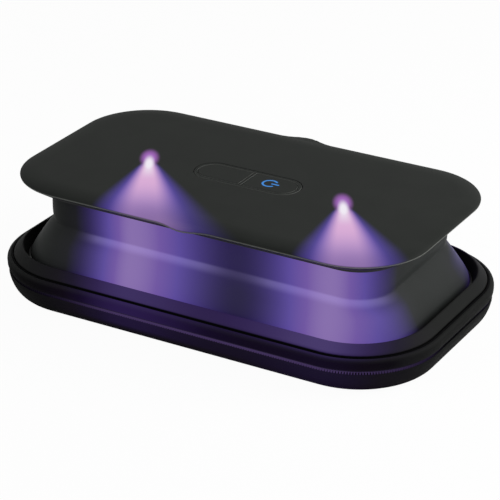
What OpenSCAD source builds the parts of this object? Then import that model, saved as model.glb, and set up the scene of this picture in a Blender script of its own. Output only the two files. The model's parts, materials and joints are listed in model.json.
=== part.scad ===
// Pop-up phone sanitizer box: a zip-round soft case with a hinged lid frame,
// a collapsing wall and a lamp head with one power key on top.
// Origin: centre of the underside. X runs along the case, Y to the hinge, Z up.
// Every ring follows the same plan: a rectangle ("spine") with the ring's
// section swept round it at a radius r, so a section is drawn as (r, z).

/* [Case] */
// Length of the case
case_l = 204; // [196:1:212]
// Width of the case
case_w = 119; // [114:1:126]
// Corner radius of the case in plan
corner_r = 37.5; // [37:0.1:38]
// Height of the widest line of the case side
belly_z = 14; // [13.5:0.1:14.5]
// How far the bottom edge of the side curves in
foot_inset = 6.6; // [5:0.2:7]
// Thickness of the moulded floor
floor_t = 2.4; // [2:0.1:2.6]

/* [Zip] */
// Height of the line between the two rows of teeth
zip_z = 10.3; // [10.2:0.1:10.4]
// Gap between the two rows of teeth
row_gap = 1.1; // [1.1:0.05:1.2]
// Height of one tooth
tooth_h = 0.95; // [0.8:0.05:1]
// Distance from tooth to tooth
tooth_pitch = 2.5; // [2.5:0.25:5]
// Width of the fabric hinge at the back
hinge_w = 44; // [36:1:44]

/* [Pop-up wall] */
// Height of the crease between skirt and neck
waist_z = 32.7; // [31:0.5:34]
// Section radius of the neck
neck_r = 16.8; // [16.5:0.1:17]
// Thickness of the rubber wall
wall_t = 1.4; // [1:0.1:1.6]

/* [Lamp head] */
// Section radius of the lip of the top cover
cap_r = 30.3; // [30:0.1:31]
// Height of the top of the cover
cap_z = 55.5; // [55.5:0.1:56]
// Reach of the finger tabs beyond the lip
tab_reach = 2.8; // [2:0.2:3]
// Width of the finger tabs
tab_w = 25; // [20:1:30]
// Distance of each lamp from the middle
lamp_x = 47; // [44:1:50]

/* [Power key] */
// Length of the control panel
panel_l = 50.4; // [46:0.4:54]
// Width of the control panel
panel_w = 17.6; // [16:0.4:20]
// Width of the bezel round the key and the blank plate
bezel_w = 1.4; // [1:0.1:1.8]
// Travel of the key
key_travel = 0.7; // [0.5:0.1:0.8]

/* [Hidden] */
$fn = 64;

spine_x = case_l/2 - corner_r;
spine_y = case_w/2 - corner_r;

// Side walls: outer radii at the zip, inner radius of the tray
wall_in_r = corner_r - 3.1;
liner_t = 0.8;
base_top_z = zip_z - 1.7;
rear_top_z = zip_z - 3.7;
lid_low_z = zip_z + 1.9;

// Zip tape and teeth
tape_r = corner_r - 2.2;
tape_t = 0.6;
tooth_r = corner_r - 2.6;
tooth_t = 1.5;
tooth_w = 1.5;
low_row_z = zip_z - row_gap/2 - tooth_h;
high_row_z = zip_z + row_gap/2;
tape_low_z = 5.6;
tape_high_z = high_row_z + tooth_h;
tail_top_z = zip_z + 4.1;
zip_y = spine_y + tooth_r + tooth_t/2;
zip_end_x = 33;
tail_end_x = spine_x + 11.5;
tail_angle = asin((tail_end_x - spine_x)/tape_r);

// Hinge line at the back, and the room cut round it for the zip slider
hinge_y = spine_y + corner_r - 0.2;
relief_r = 5;
hinge_gap = 0.3;

// Rim of the lid frame: its inner face, and the crest at the top of its slope
rim_in_r = 28.1;
crest_r = 30.65;
crest_z = 20.1;
ledge_z = 13.6;
ledge_r = 24.6;
foot_r = 27;
groove_r = [34.8, 35.6];
groove_z = 15.5;

// Lamp head levels
cover_t = 1.6;
roll_w = 9.8;
roll_h = 2.2;
lip_z = cap_z - roll_h;
cover_in_z = cap_z - cover_t;
flare_z = 47.8;
head_floor_z = 43.6;
head_floor_t = 1.2;
head_r = 14.8;
head_wall_t = 1.4;
lamp_y = -3;
window_r = 5.4;
board_z = 47.6;
board_t = 1.2;

// Screw posts of the cover: height where they meet the posts of the floor
post_z = 47;
post_hole_r = 0.9;
screw_head_r = 2.2;
screw_head_h = 1.2;
screw_l = 6.6;

// Charging socket
port_x = 38;
port_y = spine_y + 17.2;
port_w = 9.2;
port_l = 7.6;
port_h = 3.2;

// Key and panel: fine gap round the key, and width of the bar between the halves
key_gap = 0.3;
bar_w = 1.2;
panel_inset = bezel_w + 2*key_gap;
key_t = 1;
key_top_z = cap_z + 0.1;
pan_t = 1.2;
pan_floor_z = key_top_z - key_t - key_travel - 0.3;
plunger_r = 2;
key_x = panel_l/4;
switch_h = 1.6;

// Zip slider
slider_x = 39.5;
slider_l = 11;
slider_h = 6;
plate_t = 0.9;
clear = 0.3;

// ---------- shared shapes ----------

// Points on an ellipse from angle a0 to a1 in n steps
function ellipse_arc(c, rx, rz, a0, a1, n) =
    [for (i = [0:n]) let (a = a0 + (a1 - a0)*i/n) [c[0] + rx*cos(a), c[1] + rz*sin(a)]];

// Side of the case: angle on its ellipse at height z, and radius there
function side_angle(z) = asin((belly_z - z)/belly_z);
function side_r(z) = corner_r - foot_inset*(1 - cos(side_angle(z)));

// Sweep a section (r, z) round the four corners
module sweep_corners() {
    for (k = [0:3])
        let (sx = (k == 0 || k == 3) ? 1 : -1, sy = k < 2 ? 1 : -1)
            translate([sx*spine_x, sy*spine_y, 0])
                rotate([0, 0, 90*k])
                    rotate_extrude(angle = 90)
                        children();
}

// Run a section along one straight side, k = 0 back, 1 left, 2 front, 3 right
module sweep_side(k) {
    out = k % 2 == 0 ? spine_y : spine_x;
    run = k % 2 == 0 ? 2*spine_x : 2*spine_y;
    rotate([0, 0, 90*k])
        translate([0, out, 0])
            rotate([90, 0, 90])
                linear_extrude(run, center = true)
                    children();
}

module sweep_ring(back = true) {
    sweep_corners() children();
    for (k = [back ? 0 : 1 : 3])
        sweep_side(k) children();
}

// Rectangle inside the spine, for sections that reach r = 0
module core(z0, z1) {
    translate([-spine_x, -spine_y, z0])
        cube([2*spine_x, 2*spine_y, z1 - z0]);
}

module band(r0, r1, z0, z1) {
    translate([r0, z0])
        square([r1 - r0, z1 - z0]);
}

module stadium(l, w) {
    union() {
        square([l - w, w], center = true);
        for (s = [-1, 1])
            translate([s*(l - w)/2, 0])
                circle(d = w);
    }
}

// Round bar along X at the hinge line
module hinge_round(r, l) {
    translate([-l/2, hinge_y, zip_z])
        rotate([0, 90, 0])
            cylinder(r = r, h = l);
}

// Block along the back wall, from x0 to x1 and y0 to y1 (mirrored to both ends)
module both_ends(x0, x1, y0, y1, z0, z1) {
    for (s = [0, 1])
        mirror([s, 0, 0])
            translate([x0, y0, z0])
                cube([x1 - x0, y1 - y0, z1 - z0]);
}

// ---------- zip ----------

module tooth(z) {
    translate([-tooth_w/2, tooth_r, z])
        cube([tooth_w, tooth_t, tooth_h]);
}

// Teeth on a straight stretch from a to b, measured along the side
module teeth_run(a, b, z, shift) {
    n = floor((b - a)/tooth_pitch);
    step = (b - a)/n;
    for (i = [0 : n - 1 - ceil(shift)])
        translate([a + (i + 0.5 + shift)*step, 0, 0])
            tooth(z);
}

module teeth_side(k, z, shift) {
    out = k % 2 == 0 ? spine_y : spine_x;
    half = k % 2 == 0 ? spine_x : spine_y;
    rotate([0, 0, 90*k])
        translate([0, out, 0])
            teeth_run(-half, half, z, shift);
}

// Teeth round the corners: all of them, or only those on the "tail" or the "lid"
module teeth_corners(z, shift, which = "all") {
    n = floor(PI/2*(tooth_r + tooth_t/2)/tooth_pitch);
    for (k = [0:3])
        let (sx = (k == 0 || k == 3) ? 1 : -1, sy = k < 2 ? 1 : -1)
            translate([sx*spine_x, sy*spine_y, 0])
                for (i = [0 : n - 1 - ceil(shift)])
                    let (a = 90*(k - 1) + 90*(i + 0.5 + shift)/n)
                        if (which == "all" || (abs(a) < tail_angle) == (which == "tail"))
                            rotate([0, 0, a])
                                tooth(z);
}

// Teeth along the back, from the end of the zip to the corners
module teeth_back(z, shift) {
    for (s = [0, 1])
        mirror([s, 0, 0])
            translate([0, spine_y, 0])
                teeth_run(zip_end_x + 2.6, spine_x, z, shift);
}

// Stretch of the back where the upper half of the zip stays on the base
module tail_zone() {
    both_ends(zip_end_x, tail_end_x, spine_y, case_w, 0, 30);
}

// ---------- base ----------

module base_shell() {
    outer = [for (i = [0:7]) let (a = 90 + (side_angle(base_top_z) - 90)*i/7)
        [corner_r - foot_inset*(1 - cos(a)), belly_z*(1 - sin(a))]];
    inner = [[wall_in_r, base_top_z], [wall_in_r, floor_t + 2.4], [wall_in_r - 0.7, floor_t + 0.7],
        [wall_in_r - 2.4, floor_t], [0, floor_t], [0, 0]];
    color([0.11, 0.11, 0.12])
        difference() {
            union() {
                sweep_ring()
                    polygon(concat(outer, inner));
                core(0, floor_t);
            }
            sweep_ring()
                band(tape_r, tape_r + tape_t, tape_low_z, base_top_z + 1);
            rear_notch();
        }
}

// The back wall stands lower, so that the slider runs clear of it
module rear_notch() {
    translate([-spine_x, spine_y + wall_in_r - 2, rear_top_z])
        cube([2*spine_x, 10, 10]);
}

module base_liner() {
    r = wall_in_r;
    z = floor_t;
    section = [[0, z], [r - 2.4, z], [r - 0.7, z + 0.7], [r, z + 2.4], [r, base_top_z - 0.6],
        [r - liner_t, base_top_z - 0.6], [r - liner_t, z + 2.7], [r - 1.4, z + 1.3],
        [r - 2.7, z + liner_t], [0, z + liner_t]];
    color([0.32, 0.30, 0.40])
        difference() {
            union() {
                sweep_ring()
                    polygon(section);
                core(z, z + liner_t);
            }
            rear_notch();
        }
}

// Foam mat with a drawn-in edge and channels across it
module phone_mat() {
    mat_r = 26;
    z = floor_t + liner_t;
    mat_t = 1.4;
    color([0.20, 0.19, 0.26])
        difference() {
            union() {
                sweep_ring()
                    polygon([[0, z], [mat_r - 0.6, z], [mat_r, z + 0.4], [mat_r - 0.4, z + 0.8],
                        [mat_r - 2, z + mat_t - 0.2], [mat_r - 5, z + mat_t], [0, z + mat_t]]);
                core(z, z + mat_t);
            }
            for (i = [-3:3])
                translate([i*22 - 0.6, -60, z + mat_t - 0.5])
                    cube([1.2, 120, 1]);
        }
}

module base_zip_tape() {
    color([0.09, 0.09, 0.10])
        difference() {
            sweep_ring()
                band(tape_r, tape_r + tape_t, tape_low_z, low_row_z);
            translate([-zip_end_x, spine_y, 0])
                cube([2*zip_end_x, 60, 20]);
        }
}

module base_zip_teeth() {
    color([0.20, 0.20, 0.22]) {
        for (k = [1:3])
            teeth_side(k, low_row_z, 0);
        teeth_corners(low_row_z, 0);
        teeth_back(low_row_z, 0);
    }
}

// The upper tape past each back corner stays with the lower one, and is trimmed
// so that the opening lid turns clear of it
module zip_tail_tape() {
    color([0.09, 0.09, 0.10])
        intersection() {
            sweep_ring()
                band(tape_r, tape_r + tape_t, tape_high_z, tail_top_z);
            tail_zone();
            hinge_round(relief_r - clear, 2*tail_end_x);
        }
}

module zip_tail_teeth() {
    color([0.20, 0.20, 0.22]) {
        teeth_back(high_row_z, 0.5);
        teeth_corners(high_row_z, 0.5, "tail");
    }
}

module zip_end_tabs() {
    y = spine_y + tape_r;
    color([0.13, 0.13, 0.14])
        both_ends(hinge_w/2 + 0.4, zip_end_x, y - 0.1, y + tape_t + 0.2, rear_top_z, tail_top_z);
}

// Crimped stops astride both rows, just outside the end tabs
module zip_stops() {
    y = spine_y + tooth_r;
    color([0.55, 0.56, 0.58])
        both_ends(zip_end_x, zip_end_x + 1.4, y, y + tooth_t, low_row_z, tape_high_z);
}

module hinge_lower() {
    y = spine_y + tape_r;
    color([0.10, 0.10, 0.11])
        translate([-hinge_w/2, y, tape_low_z])
            cube([hinge_w, tape_t, zip_z - hinge_gap/2 - tape_low_z]);
}

// ---------- lid frame ----------

module hinge_upper() {
    y = spine_y + tape_r;
    z = zip_z + hinge_gap/2;
    color([0.10, 0.10, 0.11])
        translate([-hinge_w/2, y, z])
            cube([hinge_w, tape_t, groove_z - 0.3 - z]);
}

module lid_frame() {
    section = [
        [side_r(lid_low_z), lid_low_z], [corner_r, belly_z], [corner_r - 0.2, 15.0],
        [corner_r - 0.8, 15.7], [groove_r[1], 16.0], [groove_r[1], groove_z],
        [groove_r[0], groove_z], [groove_r[0], 16.3], [groove_r[0] - 0.3, 16.8], [33.3, 17.9],
        [32.0, 19.05], [crest_r + 0.5, crest_z - 0.2], [crest_r, crest_z],
        [crest_r - 0.4, crest_z - 0.3], [rim_in_r + 0.4, 15.9], [rim_in_r, 15.5],
        [rim_in_r, ledge_z], [ledge_r, ledge_z], [ledge_r, lid_low_z]];
    color([0.12, 0.12, 0.13])
        difference() {
            sweep_ring()
                polygon(section);
            lid_tape_band(lid_low_z - 1);
            hinge_round(relief_r, 2*tail_end_x);
            translate([-hinge_w/2, spine_y + tape_r, zip_z])
                cube([hinge_w, tape_t, groove_z - 0.3 - zip_z]);
        }
}

// Upper zip tape, from height z0 up into its groove in the lid frame
module lid_tape_band(z0) {
    difference() {
        sweep_ring(false)
            band(tape_r, tape_r + tape_t, z0, lid_low_z + 1.6);
        tail_zone();
    }
}

module lid_liner() {
    color([0.32, 0.30, 0.40])
        difference() {
            sweep_ring()
                band(ledge_r, tooth_r - 0.3, lid_low_z - 0.6, lid_low_z);
            hinge_round(relief_r, 2*tail_end_x);
        }
}

// Piping cord laid in the groove where the side meets the top of the rim
module rim_piping() {
    w = groove_r[1] - groove_r[0];
    color([0.05, 0.05, 0.06])
        sweep_ring()
            polygon([[groove_r[0], groove_z], [groove_r[1], groove_z],
                [groove_r[1], groove_z + 0.3], [groove_r[1] - w*0.25, groove_z + 0.55],
                [groove_r[0] + w*0.25, groove_z + 0.55], [groove_r[0], groove_z + 0.3]]);
}

module lid_zip_tape() {
    color([0.09, 0.09, 0.10])
        lid_tape_band(tape_high_z);
}

module lid_zip_teeth() {
    color([0.20, 0.20, 0.22]) {
        for (k = [1:3])
            teeth_side(k, high_row_z, 0.5);
        teeth_corners(high_row_z, 0.5, "lid");
    }
}

// Ring that holds the foot of the wall down on its ledge
module wall_clamp() {
    color([0.25, 0.25, 0.27])
        sweep_ring()
            polygon([[foot_r + 0.1, ledge_z + 1.2], [rim_in_r, ledge_z + 1.2],
                [rim_in_r, ledge_z + 2.0], [foot_r + 0.5, ledge_z + 2.2],
                [foot_r + 0.1, ledge_z + 1.9]]);
}

// Rubber wall: foot bead, flared skirt, crease, upright neck and top bead
module pop_wall() {
    t = wall_t;
    foot_top = ledge_z + 1.2;
    bead_z = flare_z - 1.2;
    outer = [[rim_in_r, ledge_z], [rim_in_r, foot_top], [foot_r, foot_top], [foot_r - 0.1, 16.6],
        [foot_r - 0.6, 18.0], [foot_r - 1.5, 19.7], [foot_r - 3.5, 23.0], [foot_r - 5.6, 26.1],
        [foot_r - 8.0, 29.3], [neck_r + 0.3, waist_z - 0.6], [neck_r - 0.3, waist_z],
        [neck_r - 0.1, waist_z + 0.7], [neck_r + 0.15, waist_z + 2], [neck_r + 0.2, waist_z + 6],
        [neck_r, bead_z], [neck_r + 1.6, bead_z], [neck_r + 1.6, flare_z]];
    inner = [[neck_r - t, flare_z], [neck_r - t + 0.1, waist_z + 6], [neck_r - t, waist_z + 2],
        [neck_r - t - 0.5, waist_z + 0.4], [neck_r - t - 0.5, waist_z - 0.5],
        [neck_r - t + 0.3, waist_z - 2], [foot_r - 9.2, 28.6], [foot_r - 6.8, 25.4],
        [foot_r - 4.7, 22.3], [foot_r - 2.8, 19.2], [foot_r - 1.9, 17.6], [foot_r - 1.5, 16.2],
        [foot_r - 1.6, foot_top], [ledge_r + 0.4, foot_top], [ledge_r + 0.4, ledge_z]];
    color([0.22, 0.19, 0.34, 0.7])
        sweep_ring()
            polygon(concat(outer, inner));
}

// ---------- lamp head ----------

// One smooth finger tab in plan, on the front and the back edge
module tab_plan(grow) {
    steps = 16;
    reach = tab_reach + grow;
    edge = spine_y + cap_r - 3;
    polygon(concat([[-tab_w/2, edge]],
        [for (i = [0:steps]) let (x = tab_w*(i/steps - 0.5))
            [x, spine_y + cap_r + grow - 0.5 + (reach + 0.5)*(1 + cos(360*x/tab_w))/2]],
        [[tab_w/2, edge]]));
}

module finger_tabs() {
    for (a = [0, 180])
        rotate([0, 0, a]) {
            translate([0, 0, lip_z - 0.8])
                linear_extrude(0.9)
                    tab_plan(0);
            translate([0, 0, lip_z])
                linear_extrude(0.5)
                    tab_plan(-0.6);
        }
}

module screw_places() {
    for (x = [-70, 0, 70])
        for (y = [-28, 28])
            translate([x, y, 0])
                children();
}

module top_cover() {
    out = concat([[0, cap_z]], ellipse_arc([cap_r - roll_w, lip_z], roll_w, roll_h, 90, 0, 8));
    inside = [[cap_r - 0.1, lip_z - 0.5], [cap_r - 0.6, lip_z - 0.8], [cap_r - 1.6, lip_z - 0.8],
        [cap_r - 2.2, lip_z - 0.4], [cap_r - 4, lip_z + 0.1], [cap_r - 7, cover_in_z - 0.1],
        [cap_r - roll_w, cover_in_z], [0, cover_in_z]];
    color([0.19, 0.20, 0.19])
        difference() {
            union() {
                sweep_ring()
                    polygon(concat(out, inside));
                core(cover_in_z, cap_z);
                finger_tabs();
                screw_places()
                    translate([0, 0, post_z])
                        cylinder(r = 3, h = cover_in_z - post_z + 0.1);
            }
            translate([0, 0, cover_in_z - 1])
                linear_extrude(5)
                    stadium(panel_l, panel_w);
            screw_places()
                translate([0, 0, post_z - 1])
                    cylinder(r = post_hole_r, h = 6);
        }
}

// Lower half of the head: flared rim under the cover and a box that hangs in the neck
module inner_cover() {
    top_in = head_r - head_wall_t;
    flare_in = flare_z + head_wall_t;
    floor_in = head_floor_z + head_floor_t;
    section = [[0, head_floor_z], [head_r - 1, head_floor_z], [head_r, head_floor_z + 1],
        [head_r, flare_z], [neck_r + 2.4, flare_z], [22, flare_z + 0.5], [25.4, flare_z + 1.9],
        [28.0, flare_z + 3.6], [cap_r - 1.2, lip_z - 0.8], [cap_r - 2.2, lip_z - 0.8],
        [24.6, flare_in + 2.0], [21.6, flare_in + 0.4], [neck_r + 2, flare_in],
        [top_in, flare_in], [top_in, floor_in], [0, floor_in]];
    color([0.15, 0.15, 0.17])
        difference() {
            union() {
                sweep_ring()
                    polygon(section);
                core(head_floor_z, floor_in);
                screw_places()
                    translate([0, 0, head_floor_z + 0.1])
                        cylinder(r = 3.6, h = post_z - 0.1 - head_floor_z);
            }
            screw_places() {
                translate([0, 0, head_floor_z - 1])
                    cylinder(r = 1.2, h = 6);
                translate([0, 0, head_floor_z - 1])
                    cylinder(r = 2.5, h = 3);
            }
            for (s = [-1, 1])
                translate([s*lamp_x, lamp_y, head_floor_z]) {
                    translate([0, 0, -1])
                        cylinder(r = window_r - 0.8, h = 4);
                    translate([0, 0, 0.5])
                        cylinder(r = window_r, h = 4);
                }
            port_room();
        }
}

// Seat of the charging socket, and the slot under the lip that its plug passes
module port_room() {
    z0 = flare_z + head_wall_t + 0.1;
    translate([port_x - port_w/2, port_y, z0])
        cube([port_w, port_l, 4]);
    translate([port_x - 6.2, port_y + port_l, flare_z])
        cube([12.4, 12, lip_z - 0.9 - flare_z]);
}

module neck_clamp() {
    color([0.25, 0.25, 0.27])
        sweep_ring()
            band(neck_r + 0.25, neck_r + 2, flare_z - 2.2, flare_z - 1.2);
}

// Pan under the panel opening, with a guide hole for the key's stem. Its bezel
// and the bar between the two halves stand level with the cover.
module control_frame() {
    color([0.19, 0.20, 0.19])
        difference() {
            union() {
                translate([0, 0, cover_in_z - pan_t])
                    linear_extrude(pan_t)
                        stadium(panel_l + 4, panel_w + 4);
                translate([0, 0, cover_in_z - 0.1])
                    linear_extrude(cover_t + 0.1)
                        stadium(panel_l - 2*key_gap, panel_w - 2*key_gap);
                translate([key_x, 0, cover_in_z - pan_t - 1.4])
                    cylinder(r = plunger_r + 1.4, h = 1.5);
            }
            translate([0, 0, pan_floor_z])
                linear_extrude(4)
                    for (side = [-1, 1])
                        half_panel(side, key_gap);
            translate([key_x, 0, cover_in_z - 4])
                cylinder(r = plunger_r + 0.05, h = 6);
        }
}

// Half of the panel's pill shape, grown by a gap: side = 1 right, -1 left
module half_panel(side, grow) {
    intersection() {
        stadium(panel_l - 2*panel_inset + 2*grow, panel_w - 2*panel_inset + 2*grow);
        translate([side*(panel_l/2 + bar_w/2 + key_gap - grow), 0])
            square([panel_l, panel_w], center = true);
    }
}

// Plate over the left half, standing on a post in the pan
module blank_plate() {
    color([0.20, 0.21, 0.20]) {
        translate([0, 0, key_top_z - key_t])
            linear_extrude(key_t)
                half_panel(-1, 0);
        translate([-key_x, 0, pan_floor_z])
            cylinder(r = 3, h = key_top_z - key_t - pan_floor_z + 0.1);
    }
}

module symbol_plan() {
    // ring with a gap, and a bar through the gap, turned to the right
    intersection() {
        difference() {
            circle(r = 3.6);
            circle(r = 2.6);
        }
        union() {
            translate([-8, -4])
                square([8, 8]);
            rotate([0, 0, 90])
                translate([-4, -3])
                    square([2.2, 3.2]);
            translate([-0.1, 1.6])
                square([3.4, 4]);
            translate([-0.1, -5.6])
                square([3.4, 4]);
        }
    }
    translate([0.6, -0.5])
        square([4.2, 1]);
}

module power_key() {
    color([0.20, 0.21, 0.20])
        difference() {
            union() {
                translate([0, 0, key_top_z - key_t])
                    linear_extrude(key_t)
                        half_panel(1, 0);
                translate([key_x, 0, board_z + board_t + switch_h + key_travel + 0.1])
                    cylinder(r = plunger_r, h = key_top_z - 0.7 - board_z - board_t - switch_h - key_travel);
            }
            translate([key_x - 1, 0, key_top_z - 0.4])
                linear_extrude(1)
                    symbol_plan();
        }
}

module power_symbol() {
    color([0.15, 0.50, 0.85])
        translate([key_x - 1, 0, key_top_z - 0.4])
            linear_extrude(0.4)
                symbol_plan();
}

module main_board() {
    color([0.05, 0.30, 0.15])
        difference() {
            translate([-5, -13, board_z])
                cube([40, 26, board_t]);
            for (p = [[-2.5, -10.5], [-2.5, 10.5], [32.5, -10.5], [32.5, 10.5]])
                translate([p[0], p[1], board_z - 1])
                    cylinder(r = 1.1, h = 4);
        }
}

module power_switch() {
    color([0.75, 0.76, 0.78]) {
        translate([key_x - 3, -3, board_z + board_t])
            cube([6, 6, switch_h - 0.5]);
        translate([key_x, 0, board_z + board_t + switch_h - 0.5])
            cylinder(r = 1.7, h = 0.5);
    }
}

// Pouch cell with a folded tab strip at its end
module battery() {
    x0 = -38;
    color([0.60, 0.61, 0.64]) {
        translate([x0, -20, head_floor_z + head_floor_t])
            cube([29, 40, 5.2]);
        translate([x0 + 29, -8, head_floor_z + head_floor_t + 2])
            cube([1.6, 16, 1.6]);
    }
}

module lamp_board(side) {
    color([0.05, 0.30, 0.15])
        translate([side*lamp_x - 7, lamp_y - 7, board_z])
            cube([14, 14, board_t]);
}

// Chip lamp: ceramic body with a domed lens below
module uv_lamp(side) {
    color([0.80, 0.70, 0.95])
        translate([side*lamp_x, lamp_y, 0]) {
            translate([-1.9, -1.9, board_z - 1])
                cube([3.8, 3.8, 1]);
            translate([0, 0, board_z - 1.8])
                cylinder(r1 = 0.8, r2 = 1.5, h = 0.8);
        }
}

module reflector(side) {
    z0 = head_floor_z + 1.5;
    color([0.85, 0.86, 0.88])
        translate([side*lamp_x, lamp_y, 0])
            rotate_extrude()
                polygon([[4.4, z0], [6.2, z0], [6.2, z0 + 0.5], [3.9, board_z], [3, board_z]]);
}

module window(side) {
    color([0.80, 0.75, 0.95, 0.5])
        translate([side*lamp_x, lamp_y, head_floor_z + 0.5])
            cylinder(r = window_r, h = 1);
}

// Charging socket at the back, under the lip of the cover
module usb_socket() {
    mid_z = flare_z + head_wall_t + 0.1 + port_h/2;
    mouth_r = port_h/2 - 0.35;
    mouth_x = port_w/2 - 0.35 - mouth_r;
    color([0.70, 0.71, 0.73])
        translate([port_x, port_y, mid_z]) {
            difference() {
                translate([-port_w/2, 0, -port_h/2])
                    cube([port_w, port_l, port_h]);
                for (s = [-1, 1])
                    translate([s*mouth_x, 1.4, 0])
                        rotate([-90, 0, 0])
                            cylinder(r = mouth_r, h = port_l);
                translate([-mouth_x, 1.4, -mouth_r])
                    cube([2*mouth_x, port_l, 2*mouth_r]);
            }
            translate([-mouth_x, 1.3, -0.3])
                cube([2*mouth_x, port_l - 2.6, 0.6]);
        }
}

// Screws with a cross recess, their heads sunk in the floor of the head
module cover_screws() {
    head_z = head_floor_z + 0.8;
    color([0.65, 0.66, 0.68])
        screw_places()
            difference() {
                union() {
                    translate([0, 0, head_z])
                        cylinder(r = screw_head_r, h = screw_head_h);
                    translate([0, 0, head_z])
                        cylinder(r = post_hole_r, h = screw_l);
                }
                for (a = [0, 90])
                    rotate([0, 0, a])
                        translate([-1.3, -0.25, head_z - 1])
                            cube([2.6, 0.5, 1.5]);
            }
}

module lead(x0, x1, y, z) {
    translate([x0, y, z])
        rotate([0, 90, 0])
            cylinder(r = 0.6, h = x1 - x0);
}

module lamp_leads() {
    z = board_z + 0.6;
    color([0.75, 0.10, 0.10]) {
        for (y = [-4, -2])
            lead(35, lamp_x - 7, y, z);
        for (y = [-9.5, -8.5])
            translate([0, y - 1, 0])
                lead(-lamp_x + 7, -5, y, z + 3.2);
        for (y = [-10.5, -9.5])
            for (x = [-lamp_x + 7.6, -4.4])
                translate([x, y, z + 0.6])
                    cylinder(r = 0.6, h = 3.2);
    }
}

module battery_leads() {
    color([0.10, 0.10, 0.10])
        for (y = [3, 5])
            lead(-7.4, -5, y, head_floor_z + head_floor_t + 2.8);
}

// ---------- slider and pull ----------

module zip_slider() {
    y_in = spine_y + tooth_r - clear;
    y_out = spine_y + tooth_r + tooth_t + clear;
    tape_in = spine_y + tape_r - clear;
    tape_out = spine_y + tape_r + tape_t + clear;
    lip_dz = row_gap/2 + tooth_h + clear;
    color([0.62, 0.63, 0.65])
        translate([slider_x, 0, zip_z]) {
            // inner and outer plates, narrower at the tail end
            for (y = [y_in - plate_t, y_out])
                translate([0, y + plate_t, 0])
                    rotate([90, 0, 0])
                        linear_extrude(plate_t)
                            slider_plan();
            // post between the rows
            translate([-slider_l/2 + 0.6, y_in - 0.1, -row_gap/2 + clear])
                cube([3.4, y_out - y_in + 0.2, row_gap - 2*clear]);
            // lips that keep the teeth in
            for (s = [-1, 1]) {
                dz = s > 0 ? lip_dz : -lip_dz - 0.9;
                translate([-slider_l/2 + 2.5, y_in - 0.1, dz])
                    cube([slider_l - 4, tape_in - y_in + 0.1, 0.9]);
                translate([-slider_l/2 + 2.5, tape_out, dz])
                    cube([slider_l - 4, y_out - tape_out + 0.1, 0.9]);
            }
            // bridge for the pull
            translate([-3.4, y_out + plate_t - 0.1, -0.9])
                difference() {
                    cube([6.8, 2.4, 1.8]);
                    translate([1, -1, -1])
                        cube([4.8, 2.6, 4]);
                }
        }
}

module slider_plan() {
    polygon([[-slider_l/2, -2.2], [-slider_l/2 + 1.8, -slider_h/2], [2.6, -slider_h/2],
        [slider_l/2 - 0.4, -2.5], [slider_l/2, -2], [slider_l/2, 2], [slider_l/2 - 0.4, 2.5],
        [2.6, slider_h/2], [-slider_l/2 + 1.8, slider_h/2], [-slider_l/2, 2.2]]);
}

// Pull: a bar under the bridge, two arms and a rounded grip plate
module zip_pull() {
    bar_y = spine_y + tooth_r + tooth_t + clear + plate_t + 0.75;
    grip_t = 0.9;
    grip_l = 14;
    color([0.62, 0.63, 0.65])
        translate([slider_x, bar_y, zip_z]) {
            translate([0, 0, -2.5])
                cylinder(r = 0.45, h = 5);
            translate([0, grip_t/2, 0])
                rotate([90, 0, 0])
                    linear_extrude(grip_t)
                        difference() {
                            union() {
                                translate([-grip_l, -2.5])
                                    square([grip_l, 5]);
                                translate([-grip_l, 0])
                                    circle(r = 2.5);
                            }
                            translate([-6, -1.3])
                                square([5.6, 2.6]);
                            translate([-0.4, -1.3])
                                square([1, 2.6]);
                            translate([0.6 - grip_l, 0])
                                circle(r = 1.1);
                        }
        }
}

base_shell();
base_liner();
phone_mat();
base_zip_tape();
base_zip_teeth();
zip_tail_tape();
zip_tail_teeth();
zip_end_tabs();
zip_stops();
hinge_lower();
lid_frame();
lid_liner();
rim_piping();
lid_zip_tape();
lid_zip_teeth();
hinge_upper();
wall_clamp();
pop_wall();
top_cover();
inner_cover();
neck_clamp();
control_frame();
blank_plate();
main_board();
power_switch();
battery();
lamp_board(-1);  // lamp_board_left
lamp_board(1);  // lamp_board_right
uv_lamp(-1);  // uv_lamp_left
uv_lamp(1);  // uv_lamp_right
reflector(-1);  // reflector_left
reflector(1);  // reflector_right
window(-1);  // window_left
window(1);  // window_right
usb_socket();
cover_screws();
lamp_leads();
battery_leads();
power_key();
power_symbol();
zip_slider();
zip_pull();
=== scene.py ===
"""Looks of the pop-up phone sanitizer box, built round the packed frame.

Every ring of the case follows one plan: a rectangle (the spine) with a section
swept round it. A section is a list of (r, z) in millimetres, where r is the
distance out from the spine, and z is the height above the table.
"""
import json
import math

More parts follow.
